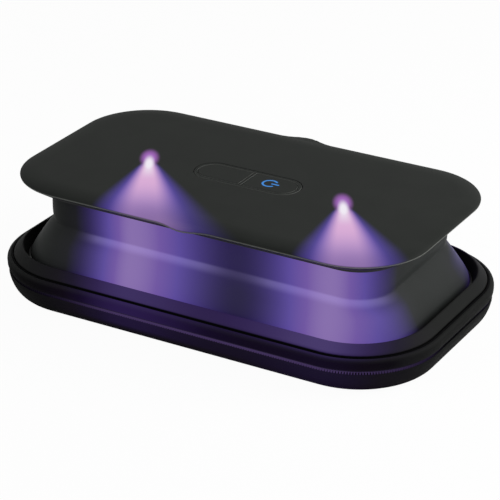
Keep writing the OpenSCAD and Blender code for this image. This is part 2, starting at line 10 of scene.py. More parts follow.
import bpy
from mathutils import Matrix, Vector


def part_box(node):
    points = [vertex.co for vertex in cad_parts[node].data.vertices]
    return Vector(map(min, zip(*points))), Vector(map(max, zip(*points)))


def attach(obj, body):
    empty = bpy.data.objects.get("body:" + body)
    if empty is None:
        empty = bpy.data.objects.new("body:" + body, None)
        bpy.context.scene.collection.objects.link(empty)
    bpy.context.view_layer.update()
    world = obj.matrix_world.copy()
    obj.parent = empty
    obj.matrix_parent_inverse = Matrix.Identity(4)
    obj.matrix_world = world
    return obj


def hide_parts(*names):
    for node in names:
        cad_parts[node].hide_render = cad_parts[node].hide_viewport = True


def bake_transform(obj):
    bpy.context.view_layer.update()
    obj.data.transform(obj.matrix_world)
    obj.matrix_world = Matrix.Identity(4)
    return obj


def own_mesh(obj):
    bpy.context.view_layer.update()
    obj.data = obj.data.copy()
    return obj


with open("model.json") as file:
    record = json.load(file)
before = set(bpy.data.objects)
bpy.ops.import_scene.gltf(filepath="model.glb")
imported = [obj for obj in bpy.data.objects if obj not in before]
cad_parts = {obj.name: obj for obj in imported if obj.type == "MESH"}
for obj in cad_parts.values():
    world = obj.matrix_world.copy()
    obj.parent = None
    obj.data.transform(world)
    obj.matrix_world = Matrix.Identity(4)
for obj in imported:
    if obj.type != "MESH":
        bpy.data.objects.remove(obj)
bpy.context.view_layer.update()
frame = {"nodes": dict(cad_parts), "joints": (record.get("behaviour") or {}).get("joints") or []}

bl_info = {
    "name": "Pop-up phone sanitizer box",
    "version": (1, 0, 0),
    "blender": (4, 5, 0),
    "location": "View3D > Sidebar > Sanitizer box",
    "description": "Models the case, zip, pop-up wall, lamp head and power key",
    "category": "Add Mesh",
}

MM = 0.001
TINY = 1e-6
CORNER_STEPS = 20
WHITE = (1, 1, 1, 1)


def span(node):
    """Lowest and highest corner of a frame node, in millimetres."""
    return [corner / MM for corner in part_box(node)]


# Places taken from the frame: HINGE in metres, the others in millimetres
RIM_LOW, RIM_HIGH = span("lid_frame")
COVER_HIGH = span("top_cover")[1]
WALL_LOW, WALL_HIGH = span("pop_wall")
KEY_HIGH = span("power_key")[1]
SIGN_LOW, SIGN_HIGH = span("power_symbol")
STRIP_LOW, STRIP_HIGH = span("hinge_lower")
CORD_LOW, CORD_HIGH = span("rim_piping")
LOW_TEETH = span("base_zip_teeth")
HIGH_TEETH = span("lid_zip_teeth")
HINGE = next(j for j in frame["joints"] if j["name"] == "lid_hinge")["pos_m"]
ZIP_Z = HINGE[2] / MM
ROLL_HEIGHT = 2.2
LIP_Z = COVER_HIGH.z - ROLL_HEIGHT
# How far the hinge line is cut clear round the back corners, beyond the spine
CLEAR_BEYOND = 11.5

# The photograph's camera, in millimetres and degrees
VIEW_AZIMUTH = 30.02
VIEW_ELEVATION = 25.47
VIEW_DISTANCE = 1000
VIEW_TARGET = (-22.34, 40.67, 0)
VIEW_LENS = 159.6


def linear(code):
    """Linear colour of a screen colour written as rrggbb."""
    parts = [int(code[i:i + 2], 16) / 255 for i in (0, 2, 4)]
    return tuple(c / 12.92 if c <= 0.04045 else ((c + 0.055) / 1.055) ** 2.4 for c in parts)


# ---- settings


def length(name, description, default):
    return bpy.props.FloatProperty(name=name, description=description, default=default,
                                   min=0.0, unit="LENGTH", subtype="DISTANCE", precision=5)


def colour(name, description, default):
    return bpy.props.FloatVectorProperty(name=name, description=description, size=3, min=0, max=1,
                                         default=linear(default), subtype="COLOR")


class UVBOX_CaseSizes(bpy.types.PropertyGroup):
    corner_radius: length("Corner radius", "Radius of the case's corners in plan", 0.0375)
    belly_height: length("Belly height", "Height of the widest line of the side", 0.014)
    foot_inset: length("Foot inset", "How far the side curves in at the bottom", 0.0066)
    tooth_pitch: length("Tooth pitch", "Distance between two turns of the zip coil", 0.00115)
    zip_opening: length("Zip opening", "Height of the slot that shows the zip", 0.0017)
    cord_radius: length("Cord radius", "Radius of the cord in the groove of the rim", 0.00036)
    strip_thickness: length("Strip thickness", "Thickness of the fabric hinge", 0.0006)


class UVBOX_HeadSizes(bpy.types.PropertyGroup):
    cover_thickness: length("Cover thickness", "Thickness of the top cover", 0.0016)
    roll_width: length("Roll width", "Width of the rounded edge of the cover", 0.0098)
    tab_width: length("Tab width", "Width of the finger tabs", 0.025)
    tab_reach: length("Tab reach", "Reach of the finger tabs beyond the lip", 0.0028)
    panel_length: length("Panel length", "Length of the pill-shaped opening", 0.0504)
    panel_width: length("Panel width", "Width of the pill-shaped opening", 0.0176)
    bezel_width: length("Bezel width", "Width of the bezel round the key", 0.0014)
    bar_width: length("Bar width", "Width of the bar between the two halves", 0.0012)
    key_gap: length("Key gap", "Fine gap round the bezel, key and plate", 0.00032)
    key_round: length("Key rounding", "Rounding of the key's top edge", 0.00022)


class UVBOX_Colours(bpy.types.PropertyGroup):
    case: colour("Case", "Skin of the soft case", "1b1c1b")
    cover: colour("Cover", "Top cover and key", "2b2d2b")
    wall: colour("Wall", "Unlit rubber wall", "2c2e2d")
    lining: colour("Lining", "Reflective lining of the tray", "8f88a8")
    pad: colour("Pad", "Soft mat under the phone", "2c2838")
    light_white: colour("Light, core", "Middle of a lamp's spot", "ece6f0")
    light_pink: colour("Light, beam", "Bright part of a lamp's beam", "d6a8d2")
    light_violet: colour("Light, halo", "Ring of light round a lamp", "9a5cb4")
    light_blue: colour("Light, edge", "Deep edge of a lamp's beam", "5440a8")
    sign: colour("Power sign", "Lit sign on the key", "2678c4")


def sizes():
    return bpy.context.scene.uvbox_case


def head_sizes():
    return bpy.context.scene.uvbox_head


def colours():
    return bpy.context.scene.uvbox_colours


def spine():
    """Half length and half width of the plan's spine, in millimetres."""
    radius = sizes().corner_radius / MM
    return RIM_HIGH.x - radius, -RIM_LOW.y - radius


def side_r(z):
    """Radius of the case's side at height z, on a quarter of an ellipse."""
    belly = sizes().belly_height / MM
    inset = sizes().foot_inset / MM
    sine = max(-1, min(1, (belly - z) / belly))
    return sizes().corner_radius / MM - inset * (1 - math.sqrt(1 - sine * sine))


# ---- modelling


def pick_none():
    if bpy.context.object and bpy.context.object.mode != "OBJECT":
        bpy.ops.object.mode_set(mode="OBJECT")
    bpy.ops.object.select_all(action="DESELECT")


def pick(piece):
    pick_none()
    piece.select_set(True)
    bpy.context.view_layer.objects.active = piece


def edit(piece=None):
    if piece:
        pick(piece)
    bpy.ops.object.mode_set(mode="EDIT")


def done(piece, smooth_angle=35, flat_tops=False):
    """Leaves edit mode and shades the piece. flat_tops evens out its large flat faces."""
    pick(piece)
    bpy.ops.object.shade_smooth_by_angle(angle=math.radians(smooth_angle))
    if flat_tops:
        apply_modifier(piece, "WEIGHTED_NORMAL", keep_sharp=True)
    return piece


def choose(piece, test):
    """Selects the vertices whose place, in millimetres, passes the test."""
    bpy.ops.mesh.select_mode(type="VERT")
    bpy.ops.mesh.select_all(action="DESELECT")
    bpy.ops.object.mode_set(mode="OBJECT")
    for vertex in piece.data.vertices:
        vertex.select = bool(test(vertex.co / MM))
    bpy.ops.object.mode_set(mode="EDIT")


def select_all():
    bpy.ops.mesh.select_all(action="SELECT")


def turn_outward():
    select_all()
    bpy.ops.mesh.normals_make_consistent(inside=False)


def weld():
    """Merges the vertices that lie on each other."""
    select_all()
    bpy.ops.mesh.remove_doubles(threshold=TINY)


def named(name):
    """The newest object, with its name."""
    piece = bpy.context.object
    piece.name = piece.data.name = name
    return piece


def trace(name, points):
    """A chain of edges through the points, in millimetres, left in edit mode."""
    pick_none()
    bpy.ops.mesh.primitive_plane_add(size=MM)
    piece = named(name)
    edit()
    select_all()
    bpy.ops.mesh.merge(type="CENTER")
    bpy.ops.transform.translate(value=Vector(points[0]) * MM)
    for here, there in zip(points, points[1:]):
        step = (Vector(there) - Vector(here)) * MM
        bpy.ops.mesh.extrude_vertices_move(TRANSFORM_OT_translate={"value": step})
    return piece


def draw_along(steps, direction):
    for step in steps:
        move = Vector(direction) * step * MM
        bpy.ops.mesh.extrude_region_move(TRANSFORM_OT_translate={"value": move})


def turn_corner(x, y):
    bpy.ops.mesh.spin(steps=CORNER_STEPS, angle=-math.pi / 2, center=(x * MM, y * MM, 0),
                      axis=(0, 0, 1))


def sweep(name, section, closed=True, cuts=None):
    """Sweeps a section round the spine. An open section starts and ends at r = 0."""
    x, y = spine()
    piece = trace(name, [(-x, -y - r, z) for r, z in section])
    if closed:
        ends = [Vector((-x, -y - r, z)) for r, z in (section[0], section[-1])]
        choose(piece, lambda p: min((p - end).length for end in ends) < 0.001)
        bpy.ops.mesh.edge_face_add()
    bpy.ops.mesh.select_mode(type="VERT")
    select_all()
    runs = cuts or [2 * x]
    for steps, way, corner in ((runs, (1, 0, 0), (x, -y)), ([2 * y], (0, 1, 0), (x, y)),
                               (runs, (-1, 0, 0), (-x, y)), ([2 * y], (0, -1, 0), (-x, -y))):
        draw_along(steps, way)
        turn_corner(*corner)
    weld()
    if not closed:
        for z in (section[0][1], section[-1][1]):
            choose(piece, lambda p: abs(p.x) < x + 0.01 and abs(p.y) < y + 0.01
                   and abs(p.z - z) < 0.01)
            bpy.ops.mesh.edge_face_add()
    turn_outward()
    return piece


def apply_modifier(piece, kind, **values):
    pick(piece)
    modifier = piece.modifiers.new(kind.lower(), kind)
    for key, value in values.items():
        setattr(modifier, key, value)
    bpy.ops.object.modifier_apply(modifier=modifier.name)


def cut(piece, cutter):
    apply_modifier(piece, "BOOLEAN", operation="DIFFERENCE", solver="EXACT", object=cutter)
    bpy.data.objects.remove(cutter)


def soft_edges(piece, width, angle=35, segments=2):
    """Rounds the piece's sharp edges, width in millimetres."""
    apply_modifier(piece, "BEVEL", width=width * MM, segments=segments, limit_method="ANGLE",
                   angle_limit=math.radians(angle), use_clamp_overlap=True)


def placed(place):
    """Puts the new primitive's place into its mesh."""
    bpy.ops.transform.translate(value=Vector(place) * MM)
    bpy.ops.object.transform_apply(location=True, rotation=True, scale=True)


def block(name, size, place, edge):
    """Block with its edges cut off, in millimetres."""
    pick_none()
    bpy.ops.mesh.primitive_cube_add(size=MM)
    piece = named(name)
    bpy.ops.transform.resize(value=size)
    placed(place)
    edit()
    select_all()
    bpy.ops.mesh.bevel(offset=edge * MM, segments=1)
    pick_none()
    return piece


def repeat(piece, move, count):
    """Repeats the piece count times, each copy moved on by move, in millimetres."""
    apply_modifier(piece, "ARRAY", use_relative_offset=False, use_constant_offset=True,
                   constant_offset_displace=[m * MM for m in move], count=count)


def pill(name, length, width, z0, z1, steps=24):
    """Upright block with a pill-shaped plan, in millimetres."""
    half = (length - width) / 2
    pick_none()
    bpy.ops.mesh.primitive_cylinder_add(vertices=4 * steps, radius=width / 2 * MM,
                                        depth=(z1 - z0) * MM)
    piece = named(name)
    placed((0, 0, (z0 + z1) / 2))
    edit()
    select_all()
    bpy.ops.mesh.bisect(plane_co=(0, 0, 0), plane_no=(1, 0, 0))
    for side in (-1, 1):
        choose(piece, lambda p: p.x * side > 0.01)
        bpy.ops.transform.translate(value=(side * half * MM, 0, 0))
    pick_none()
    return piece


def wear(mesh, name):
    """Gives the whole mesh one finish."""
    mesh.materials.clear()
    mesh.materials.append(finish(name))


def given(piece, body, slot, name, *nodes):
    """Puts a finished piece on its body with its finish, in place of CAD nodes."""
    wear(piece.data, name)
    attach(piece, body)
    if nodes:
        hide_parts(*nodes)


# ---- node trees


class Tree:
    """Short ways to add nodes to a material or node group."""

    def __init__(self, tree):
        self.tree = tree

    def add(self, kind, inputs=None, **values):
        """A new node. Its inputs are fed by name or number."""
        node = self.tree.nodes.new(kind)
        for key, value in values.items():
            setattr(node, key, value)
        self.feed_all(node, inputs or {})
        return node

    def feed(self, socket, value):
        if isinstance(value, bpy.types.NodeSocket):
            self.tree.links.new(value, socket)
        else:
            socket.default_value = value

    def feed_all(self, node, inputs):
        for name, value in inputs.items():
            self.feed(node.inputs[name], value)

    def maths(self, operation, *values):
        node = self.add("ShaderNodeMath", operation=operation)
        for socket, value in zip(node.inputs, values):
            self.feed(socket, value)
        return node.outputs[0]

    def times(self, product, *factors):
        for factor in factors:
            product = self.maths("MULTIPLY", product, factor)
        return product

    def minus(self, first, second):
        return self.maths("SUBTRACT", first, second)

    def line(self, value, slope, start):
        """value * slope + start."""
        return self.maths("MULTIPLY_ADD", value, slope, start)

    def fade(self, value, start, end, low=0.0, high=1.0):
        """Goes smoothly from low at start to high at end."""
        return self.add("ShaderNodeMapRange", {"Value": value, "From Min": start, "From Max": end,
                                               "To Min": low, "To Max": high},
                        interpolation_type="SMOOTHSTEP", clamp=True).outputs[0]

    def mix(self, factor, first, second, blend="MIX"):
        node = self.add("ShaderNodeMix", {"Factor": factor}, data_type="RGBA", blend_type=blend)
        for name, value in (("A", first), ("B", second)):
            socket = next(s for s in node.inputs if s.name == name and s.type == "RGBA")
            self.feed(socket, (*value, 1) if isinstance(value, tuple) else value)
        return next(s for s in node.outputs if s.type == "RGBA")

    def place(self):
        """Object coordinates in millimetres, as three sockets."""
        coordinates = self.add("ShaderNodeTexCoord").outputs["Object"]
        scaled = self.add("ShaderNodeVectorMath", {0: coordinates, "Scale": 1 / MM},
                          operation="SCALE")
        parts = self.add("ShaderNodeSeparateXYZ", {0: scaled.outputs[0]})
        return parts.outputs[0], parts.outputs[1], parts.outputs[2]

    def noise(self, scale, detail=3.0, roughness=0.5):
        coordinates = self.add("ShaderNodeTexCoord").outputs["Object"]
        return self.add("ShaderNodeTexNoise", {"Vector": coordinates, "Scale": scale,
                                               "Detail": detail, "Roughness": roughness}).outputs[0]

    def bump(self, height, strength, distance):
        """Normal of a bump, distance in millimetres."""
        return self.add("ShaderNodeBump", {"Strength": strength, "Distance": distance * MM,
                                           "Height": height}).outputs[0]

    def use(self, made, inputs=None):
        """Output sockets of a new node of a group."""
        return self.add("ShaderNodeGroup", inputs, node_tree=made).outputs


def group(name, inputs, outputs, build):
    """Makes a node group once. build(tree, inputs) returns its output sockets."""
    found = bpy.data.node_groups.get(name)
    if found:
        return found
    made = bpy.data.node_groups.new(name, "ShaderNodeTree")
    for label, default in inputs:
        socket = made.interface.new_socket(label, in_out="INPUT", socket_type="NodeSocketFloat")
        socket.default_value = default
    for label in outputs:
        made.interface.new_socket(label, in_out="OUTPUT", socket_type="NodeSocketFloat")
    tree = Tree(made)
    entry = tree.add("NodeGroupInput")
    leave = tree.add("NodeGroupOutput")
    for socket, value in zip(leave.inputs, build(tree, entry.outputs)):
        tree.feed(socket, value)
    return made


def grain_group():
    """Fine moulded grain with slow, slight changes of gloss and shade."""
    def build(tree, inputs):
        fine = tree.noise(inputs["Scale"], 4.0, 0.6)
        slow = tree.noise(55.0, 2.0)
        rough = tree.line(slow, inputs["Spread"], inputs["Roughness"])
        shade = tree.fade(slow, 0.3, 0.7, 0.94, 1.06)
        return fine, rough, shade
    return group("moulded_grain", [("Scale", 4000.0), ("Roughness", 0.5), ("Spread", 0.1)],
                 ["Height", "Roughness", "Shade"], build)


def weave_group():
    """Plain weave for tape and webbing, on the side of the case and on flat cloth."""
    def build(tree, inputs):
        x, y, z = tree.place()
        turn = tree.maths("DIVIDE", 2 * math.pi, inputs["Thread"])
        along = tree.maths("SINE", tree.times(tree.maths("ADD", x, y), turn))
        across = tree.maths("SINE", tree.times(z, turn))
        over = tree.times(along, across)
        height = tree.fade(over, -1.0, 1.0)
        shade = tree.line(height, 0.5, 0.72)
        return height, shade
    return group("plain_weave", [("Thread", 0.5)], ["Height", "Shade"], build)


def beam_group():
    """Light of one lamp as it shows through the cover: spot, halo and spreading beam.

    down runs along the beam on the cover and across runs over it, both as a
    viewer in front of the case's right corner would measure them.
    """
    def build(tree, inputs):
        x, y, _ = tree.place()
        dx = tree.minus(x, inputs["Lamp X"])
        dy = tree.minus(y, inputs["Lamp Y"])
        azimuth, lean = math.radians(VIEW_AZIMUTH), math.sin(math.radians(VIEW_ELEVATION))
        sine, cosine = math.sin(azimuth), math.cos(azimuth)
        across = tree.line(dx, cosine, tree.times(dy, sine))
        down = tree.times(tree.minus(tree.times(dx, sine), tree.times(dy, cosine)), lean)
        off = tree.maths("ABSOLUTE", across)

        def spot(centre, stretch, inner, outer):
            up = tree.times(tree.minus(down, centre), stretch)
            square = tree.line(up, up, tree.times(off, off))
            return tree.fade(tree.maths("SQRT", square), inner, outer, 1.0, 0.0)

        def beam(slope, start, inner, outer):
            width = tree.maths("MAXIMUM", tree.line(down, slope, start), 0.01)
            edge = tree.fade(tree.maths("DIVIDE", off, width), inner, outer, 1.0, 0.0)
            return tree.times(edge, tree.fade(down, 0.5, 4.0))

        halo = spot(-0.4, 1.0, 1.6, 5.0)
        stem = tree.times(beam(0.34, 1.2, 0.1, 1.2), tree.fade(down, 2.5, 10.0, 0.8, 0.0))
        core = tree.maths("MAXIMUM", spot(2.2, 0.62, 0.7, 3.0), stem)
        pink = tree.times(beam(0.56, 1.9, 0.3, 1.2), tree.fade(down, 9.0, 25.0, 1.0, 0.3))
        blue = tree.times(beam(1.0, 1.6, 0.45, 1.12), tree.fade(down, 12.0, 32.0, 1.0, 0.45))
        return halo, core, pink, blue
    return group("lamp_beam", [("Lamp X", 0.0), ("Lamp Y", 0.0)],
                 ["Halo", "Core", "Pink", "Blue"], build)


def glow_group():
    """Light of one lamp on the wall and rim, as a lobe along the long side.

    On the front the lobe leans to the right as it comes down, as the beam on
    the cover does. On the back it lies straight under its lamp.
    """
    def build(tree, inputs):
        x, y, _ = tree.place()
        front = tree.maths("MAXIMUM", tree.times(y, -1.0), 0.0)
        off = tree.minus(x, tree.line(front, 0.36, inputs["Lamp X"]))
        right = inputs["Right reach"]
        reach = tree.line(tree.maths("LESS_THAN", off, 0.0),
                          tree.minus(inputs["Left reach"], right), right)
        share = tree.maths("DIVIDE", off, reach)
        lobe = tree.maths("POWER", math.e, tree.times(share, share, -1.0))
        return [tree.times(lobe, tree.fade(tree.maths("ABSOLUTE", y), 12.0, 36.0))]
    return group("wall_glow", [("Lamp X", 0.0), ("Left reach", 20.0), ("Right reach", 20.0)],
                 ["Lobe"], build)


def radius_group():
    """Distance out from the plan's spine, in millimetres."""
    half = spine()

    def build(tree, inputs):
        squares = []
        for value, reach in zip(tree.place(), half):
            beyond = tree.maths("MAXIMUM", tree.minus(tree.maths("ABSOLUTE", value), reach), 0.0)
            squares.append(tree.times(beyond, beyond))
        return [tree.maths("SQRT", tree.maths("ADD", *squares))]
    return group("plan_radius", [], ["Radius"], build)


def blank_material(name):
    """A new material, its tree and its shader."""
    made = bpy.data.materials.new(name)
    made.use_nodes = True
    return made, Tree(made.node_tree), made.node_tree.nodes["Principled BSDF"]


def material(name, base, roughness=0.5, specular=0.3, grain=4000.0, bump=0.02, metallic=0.0,
             lit=None, shaded=None, spread=0.1, **sockets):
    """A finish with moulded grain. lit(tree) gives an emission colour socket."""
    made, tree, shader = blank_material(name)
    surface = tree.use(grain_group(), {"Scale": grain, "Roughness": roughness - spread / 2,
                                       "Spread": spread})
    tone = tree.mix(1.0, tuple(base), surface["Shade"], "MULTIPLY")
    if shaded:
        tone = shaded(tree, tone)
    tree.feed_all(shader, {"Base Color": tone, "Roughness": surface["Roughness"],
                           "Metallic": metallic, "Specular IOR Level": specular,
                           "Normal": tree.bump(surface["Height"], 0.6, bump)})
    tree.feed_all(shader, {label.replace("_", " "): value for label, value in sockets.items()})
    if lit:
        tree.feed_all(shader, {"Emission Color": lit(tree), "Emission Strength": 1.0})
    return made


def cloth(name, base, thread, bump=0.08, roughness=0.85, sheen=0.2):
    """Woven cloth, thread in millimetres."""
    made, tree, shader = blank_material(name)
    weave = tree.use(weave_group(), {"Thread": thread})
    tree.feed_all(shader, {"Base Color": tree.mix(1.0, tuple(base), weave["Shade"], "MULTIPLY"),
                           "Roughness": roughness, "Specular IOR Level": 0.2,
                           "Sheen Weight": sheen,
                           "Normal": tree.bump(weave["Height"], 0.8, bump)})
    return made


# ---- light and shade


def lamp_places():
    """Middle of each lamp in plan, in millimetres."""
    for node in ("uv_lamp_left", "uv_lamp_right"):
        low, high = span(node)
        yield (low.x + high.x) / 2, (low.y + high.y) / 2


def cover_light(tree):
    """Emission of the top cover: both lamps' spots and beams."""
    hues = colours()
    black = (0.0, 0.0, 0.0)
    total = black
    for x, y in lamp_places():
        beam = tree.use(beam_group(), {"Lamp X": x, "Lamp Y": y})
        lit = black
        for mask, hue in (("Blue", hues.light_blue), ("Halo", hues.light_violet),
                          ("Pink", hues.light_pink), ("Core", hues.light_white)):
            lit = tree.mix(beam[mask], lit, tuple(hue))
        total = tree.mix(1.0, total, lit, "ADD")
    above = tree.fade(tree.place()[2], LIP_Z - 0.1, LIP_Z + 0.5, 0.1, 1.0)
    return tree.mix(1.0, total, above, "MULTIPLY")


def lobe_pair(tree, reaches):
    """Left and right lamp's lobes. reaches has (left, right) for each lamp."""
    return [tree.use(glow_group(), {"Lamp X": x, "Left reach": left, "Right reach": right})["Lobe"]
            for (x, _), (left, right) in zip(sorted(lamp_places()), reaches)]


def ramp(tree, value, stops):
    """Colour ramp over (place, screen colour) stops."""
    node = tree.add("ShaderNodeValToRGB", {0: value})
    elements = node.color_ramp.elements
    elements.remove(elements[1])
    for place, code in stops:
        element = elements.new(place) if place else elements[0]
        element.position = place
        element.color = (*linear(code), 1)
    return node.outputs[0]


def wall_light(tree):
    """Emission of the rubber wall: a lobe under each lamp, and a pale line along the fold."""
    height = tree.place()[2]
    neck = tree.maths("ADD", *lobe_pair(tree, ((17.0, 33.0), (27.0, 21.0))))
    skirt = tree.maths("ADD", *lobe_pair(tree, ((19.0, 33.0), (25.0, 31.0))))
    glow = tree.line(tree.fade(height, 33.0, 25.0), tree.minus(skirt, neck), neck)
    tone = ramp(tree, glow, ((0.0, "000000"), (0.06, "06030d"), (0.18, "23174a"),
                             (0.42, "43347c"), (0.62, "574597"), (0.85, "6d529f"),
                             (1.0, "846baa")))
    # Painted highlight: a pale line along the fold, where the lobes are bright
    fold = tree.times(tree.fade(height, 28.8, 31.6), tree.fade(height, 32.0, 32.9, 1.0, 0.0),
                      tree.fade(glow, 0.03, 0.4))
    return tree.mix(fold, tone, linear("4a4560"), "ADD")


def open_skin(tree):
    """1 on the skin that stands open, 0 in the trough round the wall and in the groove."""
    radius = tree.use(radius_group())[0]
    groove = tree.times(tree.fade(radius, 34.3, 34.6), tree.fade(radius, 35.6, 35.9, 1.0, 0.0),
                        tree.fade(tree.place()[2], 14.6, 15.0))
    return tree.times(tree.fade(radius, 30.1, 30.7), tree.minus(1.0, groove))


def rim_light(tree):
    """Violet that the lamps throw on the rim's slope, and fainter on the side below it."""
    height = tree.place()[2]
    slope = tree.fade(height, 14.8, 17.6)
    base = tree.fade(height, 11.2, 10.4)
    # Painted lamp light grows fainter towards the table
    table_shade = tree.fade(height, 2.0, 6.0, 0.25, 1.0)
    left = tree.line(slope, 0.24, tree.times(table_shade, tree.line(base, -0.18, 0.56)))
    right = tree.line(slope, 0.72, tree.line(tree.times(base, table_shade), 0.08, 0.22))
    total = 0.0
    for lobe, share in zip(lobe_pair(tree, ((26.0, 44.0), (46.0, 28.0))), (left, right)):
        total = tree.line(lobe, share, total)
    tone = ramp(tree, total, ((0.0, "000000"), (0.15, "08020f"), (0.3, "100523"),
                              (0.6, "281848"), (0.8, "36275a"), (1.0, "47386c")))
    return tree.mix(1.0, tone, open_skin(tree), "MULTIPLY")


def skin_shade(tree, tone):
    """Darkens the skin towards the table, under the rim's front, and in trough and groove."""
    _, y, height = tree.place()
    front, blend = -40.0, 8.0
    # Painted shade: darker towards the table, and a little darker below the rim's edge
    table_shade = tree.times(tree.fade(height, 0.5, 5.0, 0.3, 1.0), tree.fade(height, 4.0, 9.0, 0.8, 1.0),
                      tree.fade(height, 15.0, 16.5, 0.65, 1.0))
    # Painted shadow under the rim's front, above the zip
    under = tree.times(tree.fade(height, 11.0, 11.8), tree.fade(height, 14.0, 15.8, 1.0, 0.0),
                       tree.fade(y, front, front - blend))
    # Black in the trough and groove as painted shade
    dark = tree.times(table_shade, tree.line(under, -0.75, 1.0), tree.line(open_skin(tree), 0.92, 0.08))
    return tree.mix(1.0, tone, dark, "MULTIPLY")


def wall_shade(tree, tone):
    """Darkens the foot of the rubber wall, where it sinks into the rim."""
    return tree.mix(1.0, tone, tree.fade(tree.place()[2], 16.5, 19.0, 0.75, 1.0), "MULTIPLY")


def pale_lip(tree, tone):
    """Lightens the cut edge of the cover's lip."""
    edge = tree.fade(tree.place()[2], LIP_Z - 0.15, LIP_Z + 0.25, 1.0, 0.0)
    return tree.mix(edge, tone, linear("6a6c68"))


def pale_edge(tree, tone):
    """Lightens the rounded edges along the panel's fine gaps."""
    height = tree.place()[2]
    top = COVER_HIGH.z
    edge = tree.times(tree.fade(height, top - 0.04, top - 0.08),
                      tree.fade(height, top - 0.3, top - 0.2))
    return tree.mix(edge, tone, linear("6a6c69"))


def socket_shade(tree, tone):
    """Blackens the inside of the charging socket's steel shell."""
    low, high = span("usb_socket")
    wall, blend = 0.35, 0.05
    x, _, z = tree.place()
    inside = 1.0
    for value, start, end in ((x, low.x, high.x), (z, low.z, high.z)):
        inside = tree.times(inside, tree.fade(value, start + wall, start + wall + blend),
                            tree.fade(value, end - wall, end - wall - blend))
    return tree.mix(inside, tone, linear("08080a"))


def coil_light(tree):
    """Violet on the teeth of the lower half, round the front."""
    total = tree.maths("ADD", *lobe_pair(tree, ((26.0, 60.0), (50.0, 40.0))))
    # Painted shade: the teeth above the zip line, under the upper lip, get little of the light
    low = tree.fade(tree.place()[2], ZIP_Z - 0.1, ZIP_Z + 0.35, 1.0, 0.15)
    return ramp(tree, tree.times(total, low), ((0.0, "000000"), (0.3, "1a1228"), (1.0, "3f3057")))


def sign_light(tree):
    return tree.mix(tree.noise(400.0), tuple(colours().sign), linear("2a82d4"))


def chip_light(tree):
    return tree.mix(1.0, (0.0, 0.0, 0.0), linear("9a6cff"))


def finish(name):
    """A finish by its name, made once."""
    found = bpy.data.materials.get(name + "_finish")
    if found:
        return found
    hues = colours()
    # base, roughness, specular, grain scale, bump, metallic, lit (emission: lamps and painted lamp
    # light), shaded (base colour by place: mostly painted shade and highlights)
    moulded = {
        "case_skin": (hues.case, 0.6, 0.03, 2600.0, 0.05, 0.0, rim_light, skin_shade),
        "cover_plastic": (hues.cover, 0.5, 0.015, 5200.0, 0.012, 0.0, cover_light, pale_lip),
        "key_plastic": (hues.cover, 0.5, 0.015, 5200.0, 0.012, 0.0, None, pale_edge),
        "wall_rubber": (hues.wall, 0.45, 0.03, 1500.0, 0.01, 0.0, wall_light, wall_shade),
        "piping_rubber": (linear("050506"), 0.7, 0.02),
        "dark_plastic": (linear("222226"), 0.5, 0.2, 4200.0, 0.02),
        "clamp_plastic": (linear("101010"), 0.3, 0.4, 4200.0, 0.015),
        "coil_nylon": (linear("1b1a1e"), 0.5, 0.03, 3000.0, 0.01, 0.0, coil_light),
        "dark_nickel": (linear("6a6a6e"), 0.28, 0.5, 900.0, 0.004, 1.0),
        "plated_steel": (linear("b4b6ba"), 0.3, 0.5, 900.0, 0.004, 1.0),
        "socket_steel": (linear("b4b6ba"), 0.3, 0.5, 900.0, 0.004, 1.0, None, socket_shade),
        "sign_light": (linear("06121f"), 0.4, 0.1, 4000.0, 0.02, 0.0, sign_light),
        "board_mask": (linear("0c4a24"), 0.35, 0.4, 1500.0, 0.01),
        "lamp_chip": (linear("d9c8ff"), 0.4, 0.4, 4000.0, 0.02, 0.0, chip_light),
        "battery_foil": (linear("b9bcc2"), 0.35, 0.5, 300.0, 0.06, 0.9),
        "reflector_bright": (linear("e6e8ea"), 0.08, 0.5, 4000.0, 0.0, 1.0),
        "quartz": (linear("e8e0ff"), 0.06, 0.5, 500.0, 0.0),
        "lead_red": (linear("a01414"), 0.45, 0.3),
        "lead_black": (linear("141414"), 0.45, 0.3),
    }
    more = {"reflector_bright": {"spread": 0.02},
            "quartz": {"spread": 0.02, "Transmission_Weight": 0.9, "IOR": 1.46}}
    # base, thread, bump, roughness, sheen
    woven = {
        "lining_cloth": (hues.lining, 0.9, 0.05, 0.5),
        "tape_cloth": (linear("111113"), 0.45, 0.08, 0.85, 0.05),
        "pad_cloth": (hues.pad, 0.8, 0.1),
        "thread_cloth": (linear("5b5670"), 0.3, 0.03),
    }
    if name in woven:
        return cloth(name + "_finish", *woven[name])
    return material(name + "_finish", *moulded[name], **more.get(name, {}))


# ---- pieces


def make_tray():
    """Lower half of the case: curved side, a lip before the zip and the tray inside."""
    x, y = spine()
    top = ZIP_Z - 1.7
    lip = ZIP_Z - sizes().zip_opening / MM / 2
    inner = sizes().corner_radius / MM - 3.1
    floor = 2.4
    rise = [lip * (i / 12) ** 1.4 for i in range(13)]
    section = [(0, floor), (inner - 2.4, floor), (inner - 0.7, floor + 0.7),
               (inner, floor + 2.4), (inner, top - 0.3), (inner + 0.3, top)]
    section += [(side_r(top) - 0.62, top), (side_r(lip) - 0.6, lip - 0.25),
                (side_r(lip) - 0.4, lip)]
    section += [(side_r(z), z) for z in reversed(rise[1:-1])]
    section += [(side_r(0.0) - 0.2, 0.0), (0, 0)]
    piece = sweep("tray_shell", section, closed=False)
    # The back stands lower, to leave the zip slider room
    behind = y + inner - 1
    lower = 2.0

    def choose_back(above):
        choose(piece, lambda p: p.y > behind and abs(p.x) < x + 0.1 and p.z > above)

    choose_back(top + 0.05)
    bpy.ops.transform.resize(value=(1, 1, 0), center_override=(0, 0, (top + 0.05) * MM))
    choose_back(top - 1.2)
    bpy.ops.transform.translate(value=(0, 0, -lower * MM))
    given(done(piece), "base", "case_skin", "case_skin", "base_shell")


